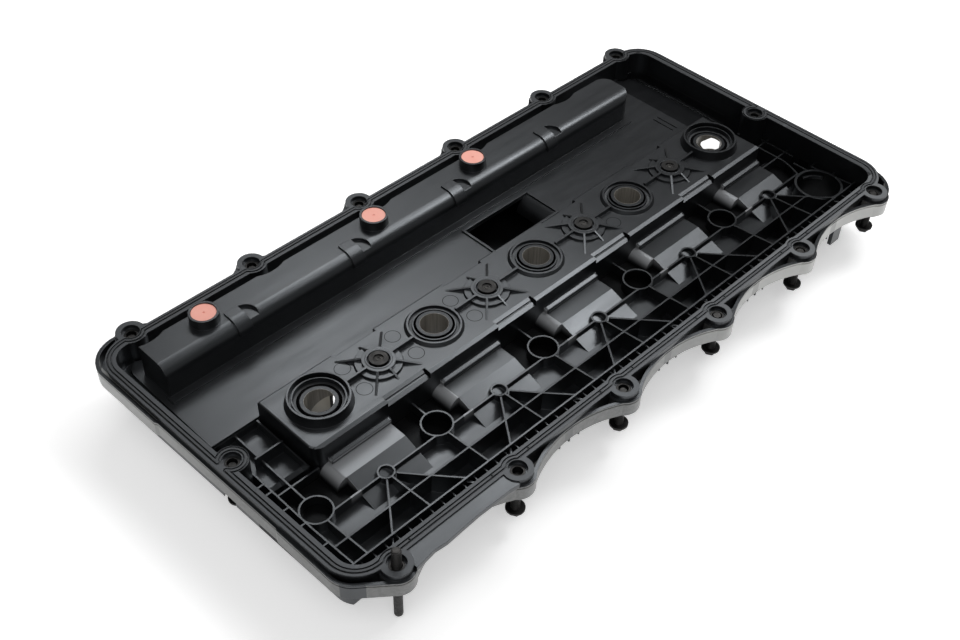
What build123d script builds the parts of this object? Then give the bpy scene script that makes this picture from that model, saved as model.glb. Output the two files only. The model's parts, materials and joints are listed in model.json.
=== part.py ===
"""Engine valve cover for a five-cylinder diesel, seen from the side that faces the cylinder head.

Frame: millimetres. The inside of the cover faces +Z and the sealing face is z = 0. X runs along
the engine. The origin is on the axis of the middle injector bore, in the sealing face.
"""
import os
from math import atan2, degrees, hypot

from build123d import *

os.makedirs("parts", exist_ok=True)

# driving dimensions
pitch = 100.0  # cylinder spacing, which is also the spacing of the injectors
cylinders = 5
wall = 3.0
rib_width = 1.35
tick_width = 1.0

# sealing rim: inner edge corners, outer edge corners, heights
rim_inner = [(-269.1, -115.0), (261.0, -115.0), (261.0, 126.0), (-275.5, 124.5)]
rim_outer = [(-277.3, -123.1), (270.0, -123.1), (270.0, 133.4), (-283.5, 132.3)]
rim_inner_r = 14.5
rim_outer_r = 24.0
rim_lip = 5.2
flange_bottom = -16.0
boss_bottom = -18.0
skirt_top = -4.0
skirt_wall = 2.4
skirt_line = -6.0
skirt_line_in = 0.8
pocket_floor = -12.5

# gasket groove, centred between the two edges of the rim
groove_line = [(-273.7, -119.1), (266.4, -119.1), (266.4, 129.8), (-280.2, 128.8)]
groove_r = 19.0
groove_width = 3.5
groove_depth = 3.0
gasket_width = 3.2
gasket_proud = 0.2
bead_width = 1.5
bead_foot = -1.0

# fixing holes round the flange
front_y = -125.6
back_y = 133.3
front_x = [-247.3] + [-50.3 + 98.5 * i for i in range(-1, 3)] + [242.7]
back_x = [-251.6] + [-51.8 + 99.9 * i for i in range(-1, 3)] + [241.5]
near_end = (-269.3, -1.3)
far_end = (259.4, -1.3)
hole_recess_r = 6.2
hole_recess = 3.0
head_room_r = 8.2
boss_r = 10.0
sleeve_r = 4.9
sleeve_bore_r = 3.45
lobe_half = 9.0
lobe_edge = 7.9
lobe_tip = 12.0

# floor of the tub, and the separator chamber at its back
floor_top = -33.0
raised_floor = -28.0
shelf_top = -24.5
chamber_front = 27.0
chamber_back = 119.0
chamber_near = -268.0
chamber_far = 258.0
chamber_bottom = -56.0
baffle_top = -16.0
baffle_t = 2.5
slope_start = 222.8
slope_end = 254.8
slope_drop = 8.0

# spine that carries the injector bores
spine_near, spine_far = -228.5, 226.5
spine_front, spine_back = -30.0, 27.0
spine_top = -2.5
spine_skin = 3.5
spine_edge_r = 1.2
notch_half = 18.5
notch_back = 24.0
hollow_front = -20.5
ledge = [
    (-31.0, 0.0), (-24.0, 0.0), (-24.0, -2.5), (-26.2, -3.9), (-26.2, -4.8), (-28.8, -4.8),
    (-30.0, -7.0), (-31.0, -7.0),
]
injector_bore_r = 9.8
seal_gap = 0.15

# centre fixings on the spine, halfway between the injectors
centre_y = -0.2
centre_ring_r, centre_ring_in = 11.3, 9.0
centre_ring_top = 1.4
centre_sleeve_r, centre_sleeve_bore = 6.5, 3.3
centre_sleeve_top = 2.5

# ribs of the front zone; their tops climb towards the front wall
low_rib_y, mid_rib_y, high_rib_y = -60.8, -83.0, -100.5
low_rib_top, mid_rib_top, high_rib_top = -19.5, -17.7, -16.0
big_ring_y, big_ring_r = -53.5, 11.2
small_ring_y, small_ring_r = -60.5, 6.0
ring_wall = 1.3
fan_spread = 30.5
tick_pitch = 9.2
tick_top = -19.5

# oil filler neck
neck_x, neck_y, neck_r, neck_t = 239.5, -81.5, 19.0, 2.0
neck_top = -17.5

# separator duct on the baffle
duct_near, duct_far = -260.0, 197.0
duct_front, duct_back = 79.0, 110.0
duct_top = 9.5
duct_skin = 2.0
duct_round = 9.0
duct_end_r = 10.0
pad_rise = 1.3
bite_r = 26.0
duct_pads = [-192.4, -93.4, 6.2, 105.8]
cups = [(-214.3, 99.6), (-66.9, 98.4), (33.0, 98.9)]
cup_r, cup_bore, cup_top, cup_seat = 10.3, 8.7, 17.0, 14.8

# bolts
shank_r = 3.1
bolt_length = 31.0
head_height = 4.8
head_r = 6.5
bolt_heads = {2: -38.0, 3: -35.7, 4: -33.3, 5: -34.2, 6: -33.4}
hidden_head = -36.0
stud_r = 2.9
stud_bottom, stud_top = -52.9, 11.8
stud_collar = (-19.5, -5.0)
stud_screw_r = 3.1

injectors = [pitch * (i - 2) for i in range(cylinders)]
centres = [pitch * (i - 1.5) for i in range(cylinders - 1)]
fixings = [(x, front_y) for x in front_x] + [(x, back_y) for x in back_x] + [near_end, far_end]
ends = [near_end, far_end]
on_foot = (Align.CENTER, Align.CENTER, Align.MIN)
from_top = (Align.CENTER, Align.CENTER, Align.MAX)


def bar(x0, y0, x1, y1, width=rib_width):
    """One straight rib in plan, between two points."""
    shape = Rectangle(hypot(x1 - x0, y1 - y0), width, mode=Mode.PRIVATE)
    return Pos((x0 + x1) / 2, (y0 + y1) / 2) * Rot(0, 0, degrees(atan2(y1 - y0, x1 - x0))) * shape


def block(x0, x1, y0, y1, z0, z1, mode=Mode.ADD):
    """A box between six planes."""
    with Locations(((x0 + x1) / 2, (y0 + y1) / 2, (z0 + z1) / 2)):
        Box(x1 - x0, y1 - y0, z1 - z0, mode=mode)


def rounded(points, radius):
    """A filled outline with every corner rounded, in the sketch that is open."""
    with BuildSketch(mode=Mode.PRIVATE) as shape:
        with BuildLine():
            Polyline(*points, close=True)
        make_face()
        fillet(shape.vertices(), radius)
    return shape.sketch


# plan shapes shared by the flange, its rim and its gasket
with BuildSketch() as inner_plan:
    add(rounded(rim_inner, rim_inner_r))
    with Locations(*ends):
        Circle(10.7, mode=Mode.SUBTRACT)
    with Locations(*[(x, front_y) for x in front_x[1:-1]]):
        Circle(11.8, mode=Mode.SUBTRACT)
    with Locations(*[(x, back_y) for x in back_x]):
        Circle(11.2, mode=Mode.SUBTRACT)

with BuildSketch() as groove_mid:
    add(rounded(groove_line, groove_r))
    with Locations(*ends):
        Circle(8.6, mode=Mode.SUBTRACT)
    with Locations(*[(x, back_y) for x in back_x]):
        Circle(8.3, mode=Mode.SUBTRACT)
    with Locations(*[(x, front_y) for x in front_x]):
        Circle(8.6, mode=Mode.SUBTRACT)

with BuildSketch() as rim_plan:
    add(rounded(rim_outer, rim_outer_r))
    with Locations(*fixings):
        Circle(boss_r)

# scalloped outline of the skirt
lobe_y = front_y - lobe_edge
tip_y = front_y - lobe_tip
hollow_y = -123.4
back_line = 133.8
with BuildSketch() as skirt_plan:
    with BuildLine() as edge:
        Line((-280.2, -57.0), (-281.0, -59.0))
        Line((-281.0, -59.0), (-280.4, -103.0))
        ThreePointArc((-280.4, -103.0), (-278.3, -113.5), (-272.0, -120.6))
        Line((-272.0, -120.6), (front_x[0] - lobe_half, lobe_y))
        for i, x in enumerate(front_x):
            ThreePointArc((x - lobe_half, lobe_y), (x, tip_y), (x + lobe_half, lobe_y))
            if i < len(front_x) - 1:
                after = front_x[i + 1]
                ThreePointArc((x + lobe_half, lobe_y), ((x + after) / 2, hollow_y), (after - lobe_half, lobe_y))
        ThreePointArc((front_x[-1] + lobe_half, lobe_y), (264.6, -124.0), (270.3, -108.0))
        Line((270.3, -108.0), (270.3, 110.0))
        ThreePointArc((270.3, 110.0), (264.5, 128.5), (back_x[-1] + 8.5, 140.2))
        for i, x in reversed(list(enumerate(back_x))):
            ThreePointArc((x + 8.5, 140.2), (x, 144.3), (x - 8.5, 140.2))
            if i > 0:
                ThreePointArc((x - 8.5, 140.2), (x - 15.0, 136.0), (x - 26.0, back_line))
                Line((x - 26.0, back_line), (back_x[i - 1] + 18.0, back_line))
                Line((back_x[i - 1] + 18.0, back_line), (back_x[i - 1] + 8.5, 140.2))
        ThreePointArc((back_x[0] - 8.5, 140.2), (-278.5, 133.5), (-286.2, 118.0))
        Line((-286.2, 118.0), (-284.6, 59.0))
        Line((-284.6, 59.0), (-283.4, 57.0))
        Line((-283.4, 57.0), (-280.2, -57.0))
    make_face()

with BuildSketch(mode=Mode.PRIVATE) as pocket_plan:
    offset(skirt_plan.sketch, amount=-skirt_wall)
    offset(rounded(rim_outer, rim_outer_r), amount=-1.0, mode=Mode.SUBTRACT)
    with Locations(*fixings):
        Circle(boss_r + 1.2, mode=Mode.SUBTRACT)
    with Locations(((front_x[0] + front_x[1]) / 2 + 2.0, front_y)):
        Rectangle(front_x[1] - front_x[0] - 22.0, 24.0, mode=Mode.SUBTRACT)

# ribs standing on the floor, cut to their climbing tops
with BuildPart() as ribs:
    with BuildSketch(Plane.XY.offset(floor_top - 1.0)):
        bars = [
            bar(-248.0, low_rib_y, 241.0, low_rib_y),
            bar(-258.0, mid_rib_y, 222.0, mid_rib_y),
            bar(-269.5, high_rib_y, 261.5, high_rib_y),
            bar(-258.6, -2.0, -258.6, high_rib_y),
            bar(-258.0, -29.3, -226.0, -29.3),
            bar(247.0, -17.6, 247.0, -43.0),
            bar(247.0, -43.0, 244.6, -52.0),
            bar(244.6, -52.0, 241.0, low_rib_y),
            bar(226.0, -37.0, 261.5, -37.0),
            bar(226.0, -17.6, 261.5, -17.6),
            bar(257.5, -13.0, 257.5, -45.0),
            bar(250.5, -50.5, 250.5, -66.0),
            bar(257.0, -62.5, 261.5, -62.5),
            bar(257.0, -62.5, 257.0, high_rib_y),
            bar(256.0, neck_y, 261.5, neck_y),
            bar(249.0, 4.0, 262.0, 8.0),
        ]
        bars += [bar(-272.0, y, -258.0, y) for y in (-16.0, -24.0, -40.5, -56.5, -77.5)]
        for i in range(56):
            x = -253.5 + tick_pitch * i
            bars.append(bar(x, high_rib_y, x, -115.5, tick_width))
        for i in range(cylinders):
            x = -248.0 + pitch * i
            bars.append(bar(x, big_ring_y - 10.5, x, high_rib_y))
            bars.append(bar(x, big_ring_y + 10.5, x, 27.5 if i == 0 else -25.0))
            s = x + pitch / 2
            for side in (-1.0, 0.0, 1.0):
                slant = side * fan_spread / (small_ring_y - high_rib_y)
                foot = high_rib_y if side == 0.0 else -115.5
                bars.append(bar(s + slant * 5.3, small_ring_y - 5.3, s + slant * (small_ring_y - foot), foot))
        add(bars)
    extrude(amount=20.0)
    with BuildSketch(Plane.XY.offset(floor_top - 1.0)):
        with Locations(*[(-248.0 + pitch * i, big_ring_y) for i in range(cylinders)]):
            Circle(big_ring_r)
        with Locations(*[(-198.0 + pitch * i, small_ring_y) for i in range(cylinders)]):
            Circle(small_ring_r)
    extrude(amount=20.0)
    with BuildSketch(Plane.XY.offset(floor_top - 1.0)):
        with Locations(*[(-248.0 + pitch * i, big_ring_y) for i in range(cylinders)]):
            Circle(big_ring_r - ring_wall)
        with Locations(*[(-198.0 + pitch * i, small_ring_y) for i in range(cylinders)]):
            Circle(small_ring_r - ring_wall)
    extrude(amount=20.0, mode=Mode.SUBTRACT)
    with BuildSketch(Plane.YZ.offset(-300.0)):
        with BuildLine():
            Polyline(
                (40.0, low_rib_top),
                (low_rib_y - 1.0, low_rib_top),
                (mid_rib_y, mid_rib_top),
                (high_rib_y + 0.8, high_rib_top),
                (high_rib_y - 0.7, high_rib_top),
                (high_rib_y - 0.7, tick_top),
                (-130.0, tick_top),
                (-130.0, 0.0),
                (40.0, 0.0),
                close=True,
            )
        make_face()
    extrude(amount=600.0, mode=Mode.SUBTRACT)

# one hump over the valve gear: a low lip at the back, a level top and a slope to the floor
hump_lefts = [-219.5] + [-123.5 + pitch * i for i in range(3)] + [179.5]
hump_rights = [-170.0 + pitch * i for i in range(4)] + [226.0]
hump_crease = -47.5
hump_level = [(-26.0, -34.0), (-26.0, -19.0), (hump_crease, -19.0), (hump_crease, -34.0)]
hump_slope = [(-40.0, -34.0), (-40.0, -19.0), (hump_crease, -19.0), (-73.0, -28.0), (-73.0, -34.0)]
hump_lip = [(-26.0, -34.0), (-26.0, -15.5), (-30.6, -15.5), (-33.5, -18.8), (-33.5, -34.0)]
hump_under = [(-32.0, -38.0), (-32.0, -22.2), (-46.5, -22.2), (-70.0, -30.6), (-70.0, -38.0)]


def prism(points, x0, x1, mode=Mode.ADD):
    """A side profile (y, z) run along X."""
    with BuildSketch(Plane.YZ.offset(x0)) as side:
        with BuildLine():
            Polyline(*points, close=True)
        make_face()
    extrude(side.sketch, amount=x1 - x0, mode=mode)


with BuildPart() as humps:
    for x0, x1 in zip(hump_lefts, hump_rights):
        prism(hump_level, x0 - 7.5, x1)
    for x0, x1 in zip(hump_lefts, hump_rights):
        # the near end of each hump rolls over into its foot
        with BuildSketch(Plane.XZ.offset(20.0)):
            with BuildLine():
                Polyline((x0 - 8.0, -34.0), (x0 - 8.0, -18.0), (x0 + 0.5, -18.0), (x0 + 0.5, -19.0))
                Line((x0 + 0.5, -19.0), (x0, -19.0))
                ThreePointArc((x0, -19.0), (x0 - 5.2, -21.6), (x0 - 7.5, -27.5))
                Line((x0 - 7.5, -27.5), (x0 - 7.5, -34.0))
                Line((x0 - 7.5, -34.0), (x0 - 8.0, -34.0))
            make_face()
        extrude(amount=30.0, mode=Mode.SUBTRACT)
        prism(hump_slope, x0 + 0.7, x1)
        prism(hump_lip, x0 + 0.5, x1 + 1.5)

# collars round the injector bores: radius, height
low_collar = [
    (9.8, -9.0), (9.8, 0.0), (12.4, 0.0), (12.8, -0.6), (12.8, -3.2), (13.5, -3.2),
    (13.5, -0.7), (15.0, -0.7), (15.0, -5.6), (17.5, -5.6), (17.5, 0.0), (19.0, 0.0),
    (20.5, -2.2), (20.5, -9.0),
]
tall_collar = [
    (9.8, -9.0), (9.8, -1.0), (13.8, -1.0), (13.8, -4.6), (16.8, -4.6),
    (16.8, 2.0), (17.8, 2.0), (17.8, -0.8), (19.4, -0.8), (19.4, 4.5), (20.8, 4.5),
    (22.5, -2.3), (22.5, -9.0),
]


def turned(points):
    """A ring turned round Z from a profile of (radius, height)."""
    with BuildPart(mode=Mode.PRIVATE) as ring:
        with BuildSketch(Plane.XZ):
            with BuildLine():
                Polyline(*points, close=True)
            make_face()
        revolve(axis=Axis.Z)
    return ring.part


def gusset(reach):
    """A thin web that falls from the top of a centre boss to the spine."""
    with BuildPart(mode=Mode.PRIVATE) as web:
        with BuildSketch(Plane.XZ):
            with BuildLine():
                Polyline(
                    (10.0, -3.5),
                    (10.0, centre_ring_top),
                    (centre_ring_r, centre_ring_top),
                    (reach, spine_top),
                    (reach, -3.5),
                    close=True,
                )
            make_face()
        extrude(amount=0.8, both=True)
    return web.part


centre_boss = turned([
    (0.0, -9.0), (0.0, -3.0), (centre_ring_in, -3.0), (centre_ring_in, centre_ring_top),
    (centre_ring_r, centre_ring_top), (centre_ring_r, -0.7), (16.0, -0.7), (16.6, -2.6), (16.6, -9.0),
])

with BuildPart() as spine_fittings:
    collars = [Pos(x, 0, 0) * turned(tall_collar) for x in (injectors[0], injectors[-1])]
    collars += [Pos(x, 0, 0) * turned(low_collar) for x in injectors[1:-1]]
    add(collars + [Pos(x, centre_y, 0) * centre_boss for x in centres])
    with Locations(*[(x, 0.0, -8.0) for x in injectors]):
        Cylinder(13.5, 28.0, align=from_top)
    with Locations(*[(x, centre_y, -8.0) for x in centres]):
        Cylinder(9.5, 20.0, align=from_top)
    webs = [(a, gusset(29.0)) for a in (45, 135, 225, 315)]
    webs += [(a, gusset(20.0)) for a in (90, 270)]
    add([Pos(x, centre_y, 0) * Rot(0, 0, a) * web for x in centres for a, web in webs])
    for x in centres:
        for side in (-1.0, 1.0):
            x0, x1 = sorted((x + side * 10.5, x + side * 30.5))
            block(x0, x1, centre_y - 0.9, centre_y + 0.9, -4.0, centre_ring_top)

# the front wall leans inwards below the flange
with BuildPart() as wall_foot:
    prism([(-117.5, -17.5), (-114.9, -17.5), (-108.2, -33.5), (-108.2, -36.0), (-117.5, -36.0)], -276.0, 268.0)
    with BuildSketch(Plane.XY.offset(-40.0)) as clip:
        offset(rounded(rim_inner, rim_inner_r), amount=wall - 0.1)
    extrude(clip.sketch, amount=30.0, mode=Mode.INTERSECT)

# the far end of the ledge slopes down inside the wall
with BuildPart() as slope_room:
    with BuildSketch(Plane.XZ.offset(-chamber_front)):
        with BuildLine():
            Polyline(
                (slope_start, baffle_top - baffle_t),
                (slope_end, baffle_top - baffle_t - slope_drop),
                (260.9, baffle_top - baffle_t - slope_drop),
                (260.9, -10.0),
                (slope_start, -10.0),
                close=True,
            )
        make_face()
    extrude(amount=-97.0)
    with BuildSketch(Plane.XY.offset(-40.0)) as clip:
        add(inner_plan.sketch)
    extrude(clip.sketch, amount=40.0, mode=Mode.INTERSECT)

with BuildPart() as spine:
    with BuildSketch(Plane.XY.offset(floor_top - wall)) as spine_plan:
        with Locations(((spine_near + spine_far) / 2, (spine_front + spine_back) / 2)):
            Rectangle(spine_far - spine_near, spine_back - spine_front)
        fillet(spine_plan.vertices().group_by(Axis.X)[0].sort_by(Axis.Y)[0], 8.0)
    extrude(amount=spine_top - floor_top + wall)
    fillet(spine.edges().group_by(Axis.Z)[-1], spine_edge_r)
    for x in centres:
        prism(ledge, x - notch_half, x + notch_half, mode=Mode.SUBTRACT)
        block(x + notch_half - 1.9, x + notch_half, -31.0, -24.0, -7.5, 0.0, mode=Mode.SUBTRACT)
        block(x - notch_half, x + notch_half, notch_back, spine_back + 0.01, baffle_top, 0.0, mode=Mode.SUBTRACT)
    with Locations(*[(x, 0.0, -8.8) for x in injectors[1:-1]]):
        Cylinder(low_collar[-1][0] - 0.2, 20.0, align=on_foot, mode=Mode.SUBTRACT)
    with Locations(*[(x, 0.0, -8.8) for x in (injectors[0], injectors[-1])]):
        Cylinder(tall_collar[-1][0] - 0.2, 20.0, align=on_foot, mode=Mode.SUBTRACT)
    with Locations(*[(x, centre_y, -8.8) for x in centres]):
        Cylinder(16.4, 20.0, align=on_foot, mode=Mode.SUBTRACT)

with BuildPart() as cover:
    # flange in layers: bosses, web, pocketed skirt, then the rim above it
    with BuildSketch(Plane.XY.offset(floor_top - wall)) as tub_wall:
        offset(rounded(rim_inner, rim_inner_r), amount=wall)
        add(inner_plan.sketch, mode=Mode.SUBTRACT)
    extrude(amount=flange_bottom - floor_top + wall)
    with BuildSketch(Plane.XY.offset(boss_bottom)):
        with Locations(*fixings):
            Circle(boss_r)
    extrude(amount=flange_bottom - boss_bottom)
    with BuildSketch(Plane.XY.offset(flange_bottom)):
        add(skirt_plan.sketch)
        add(inner_plan.sketch, mode=Mode.SUBTRACT)
    extrude(amount=pocket_floor - flange_bottom)
    with BuildSketch(Plane.XY.offset(pocket_floor)):
        add(skirt_plan.sketch)
        add(pocket_plan.sketch, mode=Mode.SUBTRACT)
        add(inner_plan.sketch, mode=Mode.SUBTRACT)
    extrude(amount=skirt_line - pocket_floor)
    with BuildSketch(Plane.XY.offset(skirt_line)):
        offset(skirt_plan.sketch, amount=-skirt_line_in)
        add(pocket_plan.sketch, mode=Mode.SUBTRACT)
        add(inner_plan.sketch, mode=Mode.SUBTRACT)
    extrude(amount=-rim_lip - skirt_line)
    with BuildSketch(Plane.XY.offset(-rim_lip)):
        add(skirt_plan.sketch)
        add(pocket_plan.sketch, mode=Mode.SUBTRACT)
        add(rim_plan.sketch)
        add(inner_plan.sketch, mode=Mode.SUBTRACT)
    extrude(amount=skirt_top + rim_lip)
    with BuildSketch(Plane.XY.offset(skirt_top)):
        add(rim_plan.sketch)
        add(inner_plan.sketch, mode=Mode.SUBTRACT)
    extrude(amount=-skirt_top)
    # the flat web between the first two front bosses
    with BuildSketch(Plane.XY.offset(-4.5)):
        with BuildLine():
            Polyline(
                (-241.0, -121.0),
                (-241.0, -135.8),
                (-225.0, -133.8),
                (-216.0, -134.7),
                (-204.0, -134.0),
                (-189.0, -133.3),
                (-164.0, -133.6),
                (-156.0, -134.6),
                (-156.0, -121.0),
                close=True,
            )
        make_face()
    extrude(amount=3.5)
    block(199.0, 210.0, -123.0, -117.0, -31.0, flange_bottom + 1.0)
    # floor of the tub
    with BuildSketch(Plane.XY.offset(floor_top - wall)):
        offset(rounded(rim_inner, rim_inner_r), amount=0.5)
    extrude(amount=wall)
    add(wall_foot.part)
    prism([(-120.0, -20.5), (-118.2, -20.5), (-111.2, -36.0), (-111.2, -37.0), (-120.0, -37.0)], -290.0, 280.0, Mode.SUBTRACT)
    # gasket groove
    with BuildSketch(Plane.XY.offset(-groove_depth)):
        offset(groove_mid.sketch, amount=groove_width / 2)
        offset(groove_mid.sketch, amount=-groove_width / 2, mode=Mode.SUBTRACT)
    extrude(amount=5.0, mode=Mode.SUBTRACT)
    # raised floor behind the middle rib, shelf at the near end, ledge that carries the baffle
    block(-271.0, 262.0, mid_rib_y, -29.0, floor_top - 0.5, raised_floor)
    prism([(28.0, -34.0), (28.0, shelf_top), (-17.8, shelf_top), (-20.5, -26.5), (-20.5, -34.0)], -258.6, -230.5)
    block(-252.8, -230.9, -0.9, 0.5, shelf_top - 1.0, -14.4)
    block(-231.8, -230.5, -26.5, 26.5, floor_top - 1.0, -17.0)
    with BuildSketch(Plane.XY.offset(floor_top - 1.0)):
        offset(rounded(rim_inner, rim_inner_r), amount=1.0)
        with Locations((0.0, -100.0 + chamber_front)):
            Rectangle(700.0, 200.0, mode=Mode.SUBTRACT)
    extrude(amount=baffle_top - baffle_t - floor_top + 1.0)
    # separator chamber
    block(chamber_near, chamber_far, chamber_front, chamber_back + wall, chamber_bottom, floor_top)
    block(
        chamber_near + wall,
        chamber_far - wall,
        chamber_front + wall,
        chamber_back,
        chamber_bottom + wall,
        0.0,
        mode=Mode.SUBTRACT,
    )
    add(slope_room.part, mode=Mode.SUBTRACT)
    # front zone
    add(humps.part)
    add(ribs.part)
    for x0, x1 in zip(hump_lefts, hump_rights):
        prism(hump_under, x0 + 3.5, x1 - 2.5, mode=Mode.SUBTRACT)
    block(-266.0, 258.0, -80.0, -31.0, floor_top - wall - 1.0, raised_floor - wall, mode=Mode.SUBTRACT)
    # spine
    add(spine.part)
    block(
        spine_near + wall,
        spine_far - wall,
        hollow_front,
        notch_back - wall,
        floor_top - wall,
        spine_top - spine_skin,
        mode=Mode.SUBTRACT,
    )
    add(spine_fittings.part)
    # filler neck
    with Locations((neck_x, neck_y, chamber_bottom)):
        Cylinder(neck_r, neck_top - chamber_bottom, align=on_foot)
        Cylinder(neck_r - neck_t, 60.0, align=on_foot, mode=Mode.SUBTRACT)
    # bores
    with Locations(*[(x, 0.0, 0.0) for x in injectors]):
        Cylinder(injector_bore_r, 200.0, mode=Mode.SUBTRACT)
    with Locations(*[(x, centre_y, 0.0) for x in centres]):
        Cylinder(centre_sleeve_r, 200.0, mode=Mode.SUBTRACT)
    with Locations(*[(x, y, -hole_recess) for x, y in fixings]):
        Cylinder(hole_recess_r, 10.0, align=on_foot, mode=Mode.SUBTRACT)
    with Locations(*[(x, y, 0.0) for x, y in fixings]):
        Cylinder(sleeve_r, 200.0, mode=Mode.SUBTRACT)
    with Locations(*[(x, y, boss_bottom) for x, y in fixings]):
        Cylinder(head_room_r, 60.0, align=from_top, mode=Mode.SUBTRACT)
cover.part.label = "cover_moulding"
export_step(cover.part, "parts/cover_moulding.step")

# separator baffle: plate, duct and the cups that stand on it
baffle_low = baffle_top - baffle_t
duct_hollow = [
    (duct_front + 2.5, -30.0), (duct_front + 2.5, duct_top - 12.0), (duct_front + 9.5, duct_top - 5.0),
    (duct_back - 5.0, duct_top - 5.0), (duct_back - 5.0, -30.0),
]
with BuildPart() as duct:
    with BuildSketch(Plane.YZ.offset(duct_near)):
        with BuildLine():
            Line((duct_front, baffle_low), (duct_front, duct_top - duct_round))
            RadiusArc((duct_front, duct_top - duct_round), (duct_front + duct_round, duct_top), duct_round)
            Line((duct_front + duct_round, duct_top), (duct_back, duct_top))
            Line((duct_back, duct_top), (duct_back, baffle_low))
            Line((duct_back, baffle_low), (duct_front, baffle_low))
        make_face()
    extrude(amount=duct_far - duct_near)
    with BuildSketch(Plane.XY.offset(-30.0)) as duct_plan:
        with Locations(((duct_near + duct_far) / 2, (duct_front + duct_back) / 2)):
            Rectangle(duct_far - duct_near, duct_back - duct_front)
        fillet(duct_plan.vertices().group_by(Axis.X)[-1], duct_end_r)
    extrude(duct_plan.sketch, amount=60.0, mode=Mode.INTERSECT)
    for x in duct_pads:
        # a saddle over the shoulder with a half-round pocket beside it
        with BuildSketch(Plane.YZ.offset(x - 10.0)) as saddle:
            with BuildLine():
                Line((duct_front + 3.0, duct_top - duct_round), (duct_front - pad_rise, duct_top - duct_round))
                RadiusArc(
                    (duct_front - pad_rise, duct_top - duct_round),
                    (duct_front + duct_round, duct_top + pad_rise),
                    duct_round + pad_rise,
                )
                Line((duct_front + duct_round, duct_top + pad_rise), (duct_front + 16.0, duct_top + pad_rise))
                Line((duct_front + 16.0, duct_top + pad_rise), (duct_front + 16.0, duct_top - 3.0))
                Line((duct_front + 16.0, duct_top - 3.0), (duct_front + 3.0, duct_top - duct_round))
            make_face()
        extrude(saddle.sketch, amount=11.0)
        with BuildSketch(Plane.XY.offset(duct_top - 2.5)) as pocket:
            with Locations((x + 0.5, duct_front + 7.0)):
                Circle(9.5)
            with Locations((x - 9.0, duct_front + 7.0)):
                Rectangle(20.0, 30.0, mode=Mode.SUBTRACT)
        extrude(pocket.sketch, amount=10.0, mode=Mode.SUBTRACT)

with BuildPart() as baffle:
    with BuildSketch(Plane.XZ.offset(-chamber_front - 0.2)):
        with BuildLine():
            Polyline(
                (-266.0, baffle_low),
                (-266.0, baffle_top),
                (slope_start, baffle_top),
                (slope_end - 1.5, baffle_top - slope_drop + 0.4),
                (slope_end - 1.5, baffle_top - slope_drop + 1.4),
                (slope_end, baffle_top - slope_drop + 1.4),
                (slope_end, baffle_low - slope_drop),
                (slope_start, baffle_low),
                close=True,
            )
        make_face()
    extrude(amount=-96.0)
    with BuildSketch(Plane.XY.offset(-30.0)):
        add(rounded([(-266.0, 0.0), (slope_end, 0.0), (slope_end, 123.2), (-266.0, 123.2)], 11.0))
        with Locations(*[(x, back_y) for x in back_x]):
            Circle(12.6, mode=Mode.SUBTRACT)
    extrude(amount=20.0, mode=Mode.INTERSECT)
    # return opening with its raised lip
    block(-7.0, 63.0, 34.0, 69.0, baffle_low, baffle_top + 1.3)
    block(-5.0, 61.0, 36.0, 67.0, baffle_low - 1.0, 0.0, mode=Mode.SUBTRACT)
    with BuildSketch(Plane.XZ.offset(-35.5)):
        with BuildLine():
            ThreePointArc((52.5, -29.0), (56.0, -22.5), (61.5, baffle_low))
            Line((61.5, baffle_low), (61.5, baffle_top))
            ThreePointArc((61.5, baffle_top), (54.8, -20.5), (51.0, -29.0))
            Line((51.0, -29.0), (52.5, -29.0))
        make_face()
    extrude(amount=-32.0)
    # foot strip along the duct, and two short scores at the far end
    block(-262.0, 193.0, 73.0, duct_front + 1.0, baffle_low, baffle_top + 1.0)
    for x in (209.5, 214.5):
        block(x - 0.5, x + 0.5, 42.0, 63.0, baffle_top - 0.6, 0.0, mode=Mode.SUBTRACT)
    add(duct.part)
    with Locations(*[(x, y, duct_top - 1.0) for x, y in cups]):
        Cylinder(cup_r, cup_top - duct_top + 1.0, align=on_foot)
    with Locations(*[(x, y, cup_seat) for x, y in cups]):
        Cylinder(cup_bore, 10.0, align=on_foot, mode=Mode.SUBTRACT)
    with Locations(*[(x, back_y, baffle_top) for x in back_x]):
        Cylinder(bite_r, 60.0, align=on_foot, mode=Mode.SUBTRACT)
    prism(duct_hollow, duct_near + duct_skin, duct_far - duct_end_r, mode=Mode.SUBTRACT)
baffle.part.label = "separator_baffle"
export_step(baffle.part, "parts/separator_baffle.step")

# rubber gasket in the rim
with BuildPart() as gasket:
    with BuildSketch(Plane.XY.offset(-groove_depth)):
        offset(groove_mid.sketch, amount=gasket_width / 2)
        offset(groove_mid.sketch, amount=-gasket_width / 2, mode=Mode.SUBTRACT)
    extrude(amount=groove_depth + bead_foot)
    with BuildSketch(Plane.XY.offset(bead_foot)):
        offset(groove_mid.sketch, amount=bead_width / 2)
        offset(groove_mid.sketch, amount=-bead_width / 2, mode=Mode.SUBTRACT)
    extrude(amount=gasket_proud - bead_foot)
gasket.part.label = "perimeter_gasket"
export_step(gasket.part, "parts/perimeter_gasket.step")


def tube(label, x, y, outer, inner, bottom, top):
    """A plain ring or sleeve, written to its own file."""
    with BuildPart() as ring:
        with BuildSketch(Plane.XY.offset(bottom)):
            with Locations((x, y)):
                Circle(outer)
                Circle(inner, mode=Mode.SUBTRACT)
        extrude(amount=top - bottom)
    ring.part.label = label
    export_step(ring.part, f"parts/{label}.step")


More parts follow.
